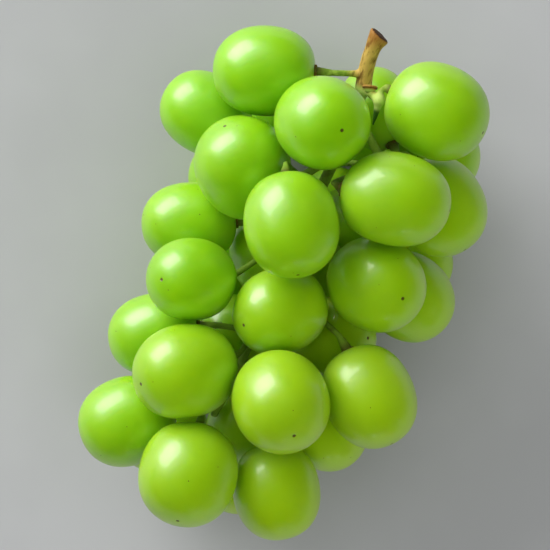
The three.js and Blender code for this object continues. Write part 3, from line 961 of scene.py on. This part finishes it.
def bark_tree():
    """Rounds the stem's facets, ridges its bark and marks wood, knuckles and the cut, and the painted shade
    on the spur and on the stalks far from the crown.

    The marks fade between pairs of distances in metres: (nothing, all).
    """
    wood_along = (-0.0002, 0.0022)
    wood_aside = (0.0075, 0.003)
    pale_at_crown = (0.0055, 0.0025)
    pale_at_fork = (0.0036, 0.002)
    unshaded_at_crown = (0.016, 0.012)
    spur_below_fork = (-0.0008, -0.0024)
    spur_reach = (0.0095, 0.0082)
    red_below_cut = (-0.0055, 0.0)
    cut_end = (-0.005, -0.0035)
    cut_turn = (0.6, 0.85)
    brown_at_seat = (0.0036, 0.0012)
    tree, given, result = new_group(
        "bark",
        "GeometryNodeTree",
        [
            ("Geometry", GEOMETRY, None),
            ("Smoothing", INTEGER, 6),
            ("Regrow", FLOAT, 0.0001),
            ("Ridge depth", FLOAT, 0.0001),
            ("Crown", VECTOR, None),
            ("Fork", VECTOR, None),
            ("Peduncle", VECTOR, None),
            ("Peduncle length", FLOAT, 0.017),
            ("Cut facing", VECTOR, None),
            ("Material", MATERIAL, None),
        ],
        [("Geometry", GEOMETRY)],
    )
    position = tree.nodes.new("GeometryNodeInputPosition").outputs[0]
    blurred = add_node(
        tree,
        "GeometryNodeBlurAttribute",
        {"Iterations": given.outputs["Smoothing"]},
        data_type="FLOAT_VECTOR",
    )
    value_socket = next(s for s in blurred.inputs if s.enabled and s.name == "Value")
    tree.links.new(position, value_socket)
    blurred_out = next(s for s in blurred.outputs if s.enabled)
    rounded = add_node(
        tree, "GeometryNodeSetPosition", {"Geometry": given.outputs["Geometry"], "Position": blurred_out}
    )
    stretched = vector_node(tree, "MULTIPLY", position, (1.0, 0.2, 0.7))
    furrow = math_node(tree, "SUBTRACT", noise(tree, stretched, 900.0, detail=2.0), 0.5)
    crown, lean = given.outputs["Crown"], given.outputs["Peduncle"]
    rise = vector_node(tree, "SUBTRACT", position, crown)
    along = vector_node(tree, "DOT_PRODUCT", rise, lean, output="Value")
    on_axis = add_node(tree, "ShaderNodeVectorMath", {0: lean}, operation="SCALE")
    tree.links.new(along, on_axis.inputs["Scale"])
    aside = vector_node(tree, "DISTANCE", rise, on_axis.outputs[0], output="Value")
    woody = math_node(
        tree, "MULTIPLY", ramp_between(tree, along, *wood_along), ramp_between(tree, aside, *wood_aside)
    )
    depth = math_node(tree, "MULTIPLY", given.outputs["Ridge depth"], math_node(tree, "ADD", woody, 0.45))
    swell = math_node(tree, "ADD", math_node(tree, "MULTIPLY", furrow, depth), given.outputs["Regrow"])
    normal = tree.nodes.new("GeometryNodeInputNormal").outputs[0]
    offset = add_node(tree, "ShaderNodeVectorMath", {0: normal}, operation="SCALE")
    tree.links.new(swell, offset.inputs["Scale"])
    ridged = add_node(
        tree, "GeometryNodeSetPosition", {"Geometry": rounded.outputs[0], "Offset": offset.outputs[0]}
    )
    marked = store(tree, ridged.outputs[0], "woody", woody)
    crown_gap = vector_node(tree, "DISTANCE", position, crown, output="Value")
    fork_gap = vector_node(tree, "DISTANCE", position, given.outputs["Fork"], output="Value")
    pale = math_node(
        tree,
        "MAXIMUM",
        ramp_between(tree, crown_gap, *pale_at_crown),
        ramp_between(tree, fork_gap, *pale_at_fork),
    )
    marked = store(tree, marked, "knuckle", pale)
    # Stores how clear of the painted shade each point is: 1 near the crown, 0 deep in the bunch.
    marked = store(tree, marked, "unshaded", ramp_between(tree, crown_gap, *unshaded_at_crown))
    # Marks the spur below the fork for painted shade.
    from_fork = vector_node(tree, "SUBTRACT", position, given.outputs["Fork"])
    down_bunch = add_node(tree, "ShaderNodeSeparateXYZ", {0: from_fork}).outputs["Y"]
    spur = math_node(
        tree,
        "MULTIPLY",
        ramp_between(tree, down_bunch, *spur_below_fork),
        ramp_between(tree, fork_gap, *spur_reach),
    )
    marked = store(tree, marked, "shadowed", spur)
    to_cut = math_node(tree, "SUBTRACT", along, given.outputs["Peduncle length"])
    marked = store(tree, marked, "near_cut", ramp_between(tree, to_cut, *red_below_cut))
    faces = vector_node(tree, "DOT_PRODUCT", normal, given.outputs["Cut facing"], output="Value")
    cut = math_node(
        tree, "MULTIPLY", ramp_between(tree, faces, *cut_turn), ramp_between(tree, to_cut, *cut_end)
    )
    marked = store(tree, marked, "cut", cut)
    seat_gap = add_node(tree, "GeometryNodeInputNamedAttribute", {"Name": "seat_gap"}).outputs[0]
    marked = store(tree, marked, "browned", ramp_between(tree, seat_gap, *brown_at_seat))
    end_tree(tree, marked, given.outputs["Material"], result)
    return tree


# ------------------------------------------------------------------------------------------ operators


class GRAPES_OT_berries(Operator):
    """Grow a smooth skin over each CAD berry"""

    bl_idname = "grapes.berries"
    bl_label = "Berries"

    def execute(self, context):
        look = context.scene.grape_berries
        tree = berry_tree()
        skin = skin_material()
        stem_points = stem_tree()
        chance = np.random.default_rng(LUCK_SEED).random(len(BERRY_NODES))
        for node_name, luck in zip(BERRY_NODES, chance):
            stem_end, tip = berry_ends(node_name, stem_points)
            # Berries towards the side away from the key light get more olive tone: painted shade and painted
            # warm reflected light. Luck adds each berry's own ripeness.
            shade_reach = (stem_end + tip).dot(SHADED_SIDE) / 2 / BUNCH_HALF_LENGTH
            ripe_and_shaded = 0.5 + shade_reach + LUCK_SHARE * (luck - 0.5)
            mesh = skin_mesh(node_name, stem_end, tip, look.segments, look.rings)
            piece = new_object(node_name.replace("berry_", "grape_"), mesh)
            grow(
                piece,
                tree,
                {
                    "Stem end": stem_end,
                    "Tip": tip,
                    "Dimple radius": look.dimple_radius,
                    "Dimple depth": look.dimple_depth,
                    "Scar radius": look.scar_radius,
                    "Scar depth": look.scar_depth,
                    "Unevenness": look.unevenness,
                    "Floor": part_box(node_name)[0].z,
                    "Ripeness and shade": min(max(float(ripe_and_shaded), 0.0), 1.0),
                    "Material": skin,
                },
            )
            finish_piece(piece, "berry_skin", node_name)
        return {"FINISHED"}


class GRAPES_OT_lenticels(Operator):
    """Scatter lenticels over the skins"""

    bl_idname = "grapes.lenticels"
    bl_label = "Lenticels"

    def execute(self, context):
        look = context.scene.grape_lenticels
        skins = bmesh.new()
        for node_name in BERRY_NODES:
            skins.from_mesh(bpy.data.objects[node_name.replace("berry_", "grape_")].data)
        mesh = bpy.data.meshes.new("lenticels")
        skins.to_mesh(mesh)
        skins.free()
        piece = new_object("lenticels", mesh)
        grow(
            piece,
            lenticel_tree(),
            {
                "Spacing": look.spacing,
                "Density": look.density,
                "Radius": look.radius,
                "Seed": look.seed,
                "Material": speck_material(),
            },
        )
        finish_piece(piece, "berry_skin")
        return {"FINISHED"}


class GRAPES_OT_stem(Operator):
    """Grow bark over the stem skeleton"""

    bl_idname = "grapes.stem"
    bl_label = "Stem"

    def execute(self, context):
        look = context.scene.grape_stem
        points, triangles, _ = cad_points(STEM_NODE)
        mesh = bpy.data.meshes.new("stalk")
        mesh.from_pydata(points.tolist(), [], triangles.tolist())
        piece = new_object("stalk", mesh)
        remesh = piece.modifiers.new("fine", "REMESH")
        remesh.mode = "VOXEL"
        remesh.voxel_size = look.voxel
        evaluated = piece.evaluated_get(context.evaluated_depsgraph_get())
        fine = bpy.data.meshes.new_from_object(evaluated)
        piece.modifiers.remove(remesh)
        piece.data = fine
        crown, fork = peduncle_marks(points)
        bark = bark_material()
        places = np.empty(len(fine.vertices) * 3)
        fine.vertices.foreach_get("co", places)
        seats = kdtree.KDTree(len(BERRY_NODES))
        stem_points = stem_tree()
        for index, node_name in enumerate(BERRY_NODES):
            seats.insert(berry_ends(node_name, stem_points)[0], index)
        seats.balance()
        gaps = fine.attributes.new("seat_gap", "FLOAT", "POINT")
        gaps.data.foreach_set("value", [seats.find(place)[2] for place in places.reshape(-1, 3)])
        grow(
            piece,
            bark_tree(),
            {
                "Smoothing": look.smoothing,
                "Regrow": look.regrow,
                "Ridge depth": look.ridge_depth,
                "Crown": crown,
                "Fork": fork,
                "Peduncle": PEDUNCLE_LEAN,
                "Peduncle length": look.peduncle,
                "Cut facing": CUT_FACING,
                "Material": bark,
            },
        )
        finish_piece(piece, "stem_bark", STEM_NODE)
        ring = new_object("crown_ring", ring_mesh(crown + RING_FROM_CROWN, RING_FACING, look.ring_radius))
        ring.data.materials.append(bark)
        finish_piece(ring, "stem_bark")
        return {"FINISHED"}


class GRAPES_OT_collars(Operator):
    """Seat a warty collar between each pedicel and its berry"""

    bl_idname = "grapes.collars"
    bl_label = "Collars"

    def execute(self, context):
        look = context.scene.grape_collars
        stem_points = stem_tree()
        ends = [berry_ends(node_name, stem_points) for node_name in BERRY_NODES]
        outward = [(stem_end - tip).normalized() for stem_end, tip in ends]
        mesh = bpy.data.meshes.new("collars")
        seats = [stem_end - COLLAR_SUNK * out for (stem_end, _), out in zip(ends, outward)]
        mesh.from_pydata(seats, [], [])
        kept = mesh.attributes.new("outward", "FLOAT_VECTOR", "POINT")
        kept.data.foreach_set("vector", np.array(outward).ravel())
        piece = new_object("collars", mesh)
        grow(
            piece,
            collar_tree(),
            {
                "Radius": look.radius,
                "Height": look.height,
                "Warts": look.warts,
                "Seed": look.seed,
                "Material": collar_material(),
            },
        )
        finish_piece(piece, "stem_bark")
        return {"FINISHED"}


class GRAPES_OT_stage(Operator):
    """Lay the floor and set the lights and the camera"""

    bl_idname = "grapes.stage"
    bl_label = "Stage"

    def execute(self, context):
        look = context.scene.grape_stage
        scene = context.scene
        middle = (CAD_LOW + CAD_HIGH) / 2
        turned = Matrix.Rotation(look.turn, 4, "Z")

        sheet = bmesh.new()
        bmesh.ops.create_grid(sheet, x_segments=1, y_segments=1, size=3.0)
        mesh = bpy.data.meshes.new("floor")
        sheet.to_mesh(mesh)
        sheet.free()
        floor = new_object("floor", mesh)
        floor.data.materials.append(floor_material())
        floor.location.z = min(0.0, CAD_LOW.z)

        def softbox(name, bearing, height, distance, size, power, shines=True):
            """An area light, with its bearing and height in degrees, that the camera does not see."""
            light = bpy.data.lights.new(name, "AREA")
            light.shape = "RECTANGLE"
            light.size, light.size_y = size
            light.energy = power
            holder = bpy.data.objects.new(name, light)
            scene.collection.objects.link(holder)
            level = math.cos(math.radians(height))
            side = math.radians(bearing)
            spot = (level * math.cos(side), level * math.sin(side), math.sin(math.radians(height)))
            towards = turned @ Vector(spot)
            holder.location = middle + towards * distance
            holder.rotation_euler = towards.to_track_quat("Z", "Y").to_euler()
            holder.visible_camera = False
            holder.visible_glossy = shines

        half_rim = look.rim_power * 0.5
        softbox("key_light", bearing=131, height=19, distance=1.1, size=(0.9, 0.7), power=look.key_power)
        softbox("fill_light", bearing=131, height=34, distance=1.25, size=(1.6, 0.9), power=look.fill_power)
        softbox("rim_light", bearing=-78, height=8, distance=0.7, size=(0.3, 0.005), power=look.rim_power)
        softbox("side_glint", bearing=-32, height=12, distance=0.7, size=(0.006, 0.09), power=half_rim)
        softbox("top_light", 0, 90, distance=1.3, size=(1.2, 1.2), power=look.top_power, shines=False)
        softbox("low_light", -50, 35, distance=1.3, size=(1.0, 0.8), power=look.low_power, shines=False)

        world = bpy.data.worlds.new("studio")
        world.use_nodes = True
        background = world.node_tree.nodes["Background"]
        background.inputs["Color"].default_value = (0.93, 0.96, 1.0, 1.0)
        background.inputs["Strength"].default_value = 0.14
        world.cycles_visibility.glossy = False
        scene.world = world
        scene.view_settings.view_transform = "Standard"

        lens = bpy.data.cameras.new("camera")
        lens.sensor_width = 36.0
        lens.lens = lens.sensor_width * look.distance / look.view_width
        lens.clip_start = 0.01
        camera = bpy.data.objects.new("camera", lens)
        scene.collection.objects.link(camera)
        camera.location = (look.aim[0], look.aim[1], look.aim[2] + look.distance)
        camera.rotation_euler = (0.0, 0.0, look.turn)
        scene.camera = camera
        return {"FINISHED"}


STEPS = (GRAPES_OT_stage, GRAPES_OT_berries, GRAPES_OT_lenticels, GRAPES_OT_stem, GRAPES_OT_collars)


class GRAPES_PT_panel(Panel):
    """The steps and the settings of the bunch"""

    bl_label = "Bunch of grapes"
    bl_idname = "GRAPES_PT_panel"
    bl_space_type = "VIEW_3D"
    bl_region_type = "UI"
    bl_category = "Grapes"

    def draw(self, context):
        for step in STEPS:
            self.layout.operator(step.bl_idname)
        for name, group in SETTINGS.items():
            box = self.layout.box()
            box.label(text=group.__doc__)
            for prop in group.__annotations__:
                box.prop(getattr(context.scene, name), prop)


CLASSES = (*SETTINGS.values(), *STEPS, GRAPES_PT_panel)


def register():
    for cls in CLASSES:
        bpy.utils.register_class(cls)
    for name, group in SETTINGS.items():
        setattr(bpy.types.Scene, name, PointerProperty(type=group))


def unregister():
    for name in SETTINGS:
        delattr(bpy.types.Scene, name)
    for cls in reversed(CLASSES):
        bpy.utils.unregister_class(cls)


def main():
    register()
    bpy.ops.grapes.stage()
    bpy.ops.grapes.berries()
    bpy.ops.grapes.lenticels()
    bpy.ops.grapes.stem()
    bpy.ops.grapes.collars()


if __name__ == "__main__":
    main()
